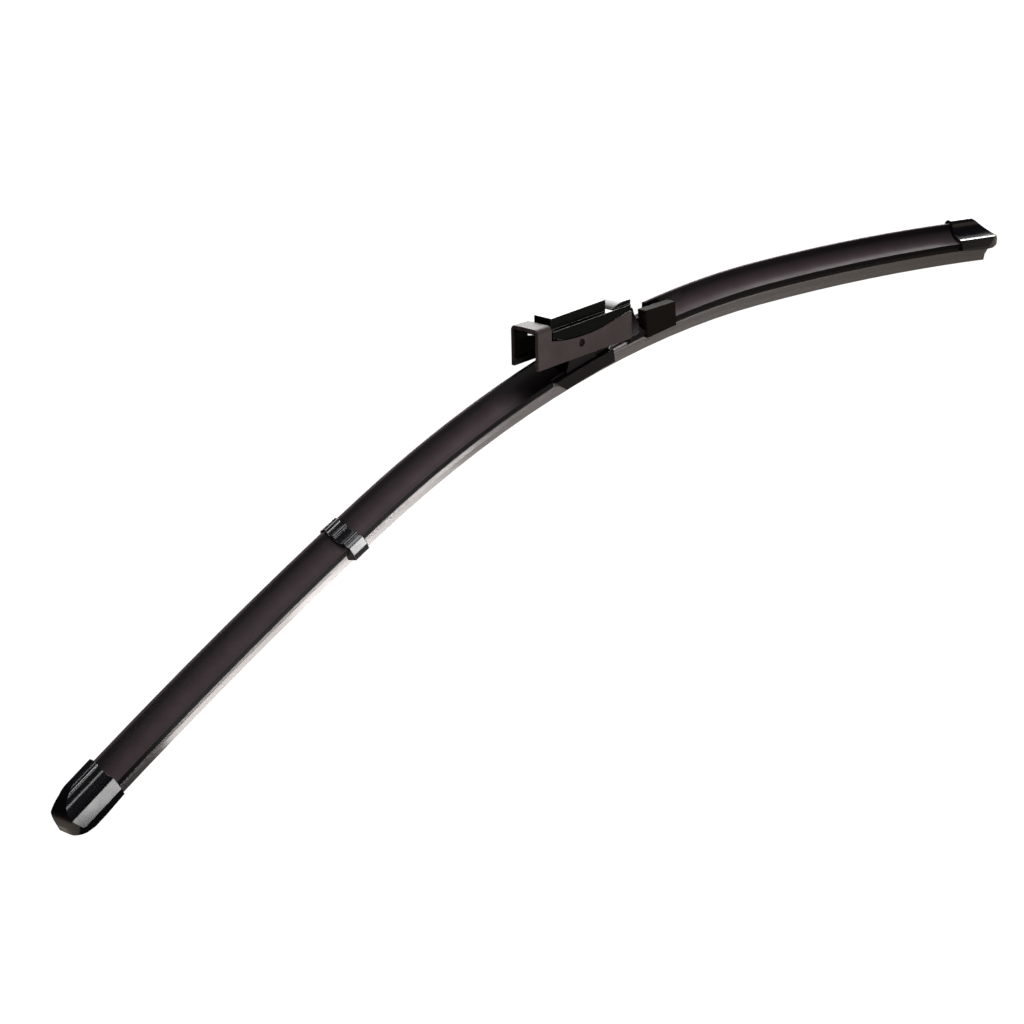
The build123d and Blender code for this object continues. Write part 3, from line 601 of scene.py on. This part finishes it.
bead = add(rib_tree, "GeometryNodeCurvePrimitiveCircle", {"Resolution": BEAD_SIDES},
           {"Radius": given["Rib radius"]})
swept = add(rib_tree, "GeometryNodeCurveToMesh", {"Fill Caps": True},
            {"Curve": moved.outputs["Geometry"], "Profile Curve": bead.outputs["Curve"]})
real = add(rib_tree, "GeometryNodeRealizeInstances", None, {"Geometry": swept.outputs["Mesh"]})
dressed = add(rib_tree, "GeometryNodeSetMaterial", None,
              {"Geometry": real.outputs["Geometry"], "Material": given["Rubber"]})
add(rib_tree, "NodeGroupOutput", None, {"Ribs": dressed.outputs["Geometry"]})
print("rib tree:", len(rib_tree.nodes), "nodes in all")

# %% Ribs as a plain mesh
line_object = bpy.data.objects.new("rail_line", rail_line)
bpy.context.scene.collection.objects.link(line_object)
sweep = line_object.modifiers.new("ribs", "NODES")
sweep.node_group = rib_tree
for title, (kind, value) in RIB_INPUTS.items():
    sweep[identifiers[title]] = value
evaluated = line_object.evaluated_get(bpy.context.evaluated_depsgraph_get())
rib_mesh = bpy.data.meshes.new_from_object(evaluated)
bpy.data.objects.remove(line_object)
lip_ribs = bpy.data.objects.new("lip_ribs", rib_mesh)
bpy.context.scene.collection.objects.link(lip_ribs)
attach(lip_ribs, "blade")
print("lip ribs:", len(rib_mesh.polygons), "faces")

# %% [markdown]
# # The light table
# The blade is pictured over a light table, as in a catalogue: the table glows white, so no shadow falls on
# it. It stands well below the blade, which leaves room for the ends when the blade rocks on its rivet. Only
# the camera sees the glow, because a table that shone on the blade would turn every black piece grey. The
# room round the table is as white, for views that look past its edge.

# %% Table and room
TABLE_HALF = 6.0
TABLE_DROP = 0.12
WHITE = "#ffffff"
WHITE_GLOW = 1.05

table_height = cad_box[0][2] - TABLE_DROP
table_mesh = bpy.data.meshes.new("light_table")
corners = [(x * TABLE_HALF, y * TABLE_HALF, table_height) for x, y in ((-1, -1), (1, -1), (1, 1), (-1, 1))]
table_mesh.from_pydata(corners, [], [(0, 1, 2, 3)])
table = bpy.data.objects.new("light_table", table_mesh)
bpy.context.scene.collection.objects.link(table)
table_top, tree = new_material("white_light_table")
glow = add(tree, "ShaderNodeEmission", {"Color": linear(WHITE), "Strength": WHITE_GLOW})
add(tree, "ShaderNodeOutputMaterial", None, {"Surface": glow.outputs["Emission"]})
table_mesh.materials.append(table_top)
table.visible_diffuse = False
table.visible_glossy = False
print("light table", round(table_height, 4), "m, blade's lowest point", round(cad_box[0][2], 4), "m")

room = bpy.data.worlds.new("studio")
room.use_nodes = True
background = room.node_tree.nodes["Background"]
background.inputs["Color"].default_value = linear(WHITE)
background.inputs["Strength"].default_value = WHITE_GLOW
room.cycles_visibility.diffuse = False
room.cycles_visibility.glossy = False
bpy.context.scene.world = room
bpy.context.scene.view_settings.view_transform = "Standard"
print("room glow", WHITE_GLOW, "view", bpy.context.scene.view_settings.view_transform)

# %% [markdown]
# # Lights
# Black pieces get their shape from what they mirror, so each light has one job. Walls of light behind and to
# the right turn the upward faces white. A softbox above and a fill in front light the matt rubber and leave
# no reflection. A tube in front draws the streak on the left cap, and a panel high on the right lights the
# top of the clip. Brightness is counted per area, with about 1 for paper white, so that a panel can change
# its size and still mirror as bright as before.

# %% Lights above and around
def light_panel(name, place, target, size, brightness, tint=WHITE, mirrored=True):
    """An area light that faces a target. Brightness is per area, and gloss may leave the light out."""
    width, height = size
    lamp = bpy.data.lights.new(name, "AREA")
    lamp.shape = "RECTANGLE"
    lamp.size = width
    lamp.size_y = height
    lamp.energy = brightness * math.pi * width * height
    lamp.color = linear(tint)[:3]
    panel = bpy.data.objects.new(name, lamp)
    facing = Vector(target) - Vector(place)
    panel.matrix_world = Matrix.Translation(place) @ facing.to_track_quat("-Z", "Y").to_matrix().to_4x4()
    panel.visible_camera = False
    panel.visible_glossy = mirrored
    bpy.context.scene.collection.objects.link(panel)
    print(name, "at", place, "brightness", brightness, "watts", round(lamp.energy, 1))


light_panel("overhead_softbox", place=(0.3, 0.9, 2.0), target=(0.0, -0.1, -0.08), size=(2.6, 1.8),
            brightness=4.5, mirrored=False)
light_panel("front_fill", place=(-0.2, -1.7, 0.2), target=(0.0, 0.0, 0.0), size=(1.0, 0.5),
            brightness=8.5, mirrored=False)
light_panel("back_wall", place=(1.25, 1.05, 0.45), target=(0.0, 0.0, 0.0), size=(1.7, 1.1), brightness=16.0)
light_panel("right_wall", place=(1.9, 0.45, 0.35), target=(0.3, 0.0, -0.05), size=(0.9, 0.6), brightness=0.5)
light_panel("cap_tube", place=(-0.1, -1.31, 1.08), target=(-0.3, 0.0, -0.06), size=(0.4, 0.15),
            brightness=10.0)
light_panel("clip_panel", place=(0.46, -0.17, 1.31), target=(-0.15, 0.0, -0.03), size=(1.0, 0.6),
            brightness=7.0)

# %% [markdown]
# # Cards below the blade
# The lip, the clip's front and the skirts of the caps lean forward and down, so they mirror what lies below
# the blade. Level cards of light lie there, as low as the lip, and each shines up on one of them. Three are
# a little warm, as light that comes back from a table top is.

# %% Low cards
CARD_HEIGHT = cad_box[0][2] + 0.5 * MM
CARD_AIM_HEIGHT = 1.0
WARM_WHITE = "#fff0df"
WARMER_WHITE = "#ffe6cc"


def low_card(name, x, y, size, brightness, tint=WHITE):
    """A card of light that lies level, as low as the blade's lowest point, and shines up."""
    light_panel(name, (x, y, CARD_HEIGHT), (x, y, CARD_AIM_HEIGHT), size, brightness, tint)


low_card("table_bounce", x=0.3, y=-0.1, size=(1.08, 1.0), brightness=0.3, tint=WARM_WHITE)
low_card("clip_card", x=0.14, y=-0.5, size=(0.45, 0.35), brightness=26.0)
low_card("cap_card", x=-0.25, y=-0.16, size=(0.16, 0.14), brightness=13.0)
low_card("nose_card", x=-0.42, y=-0.08, size=(0.2, 0.3), brightness=0.7, tint=WARM_WHITE)
low_card("skirt_card", x=-0.27, y=-0.08, size=(0.12, 0.06), brightness=0.4, tint=WARMER_WHITE)
low_card("lip_card_left", x=-0.2, y=-0.02, size=(0.1, 0.03), brightness=5.0)
low_card("lip_card_right", x=-0.085, y=-0.02, size=(0.13, 0.03), brightness=11.0)
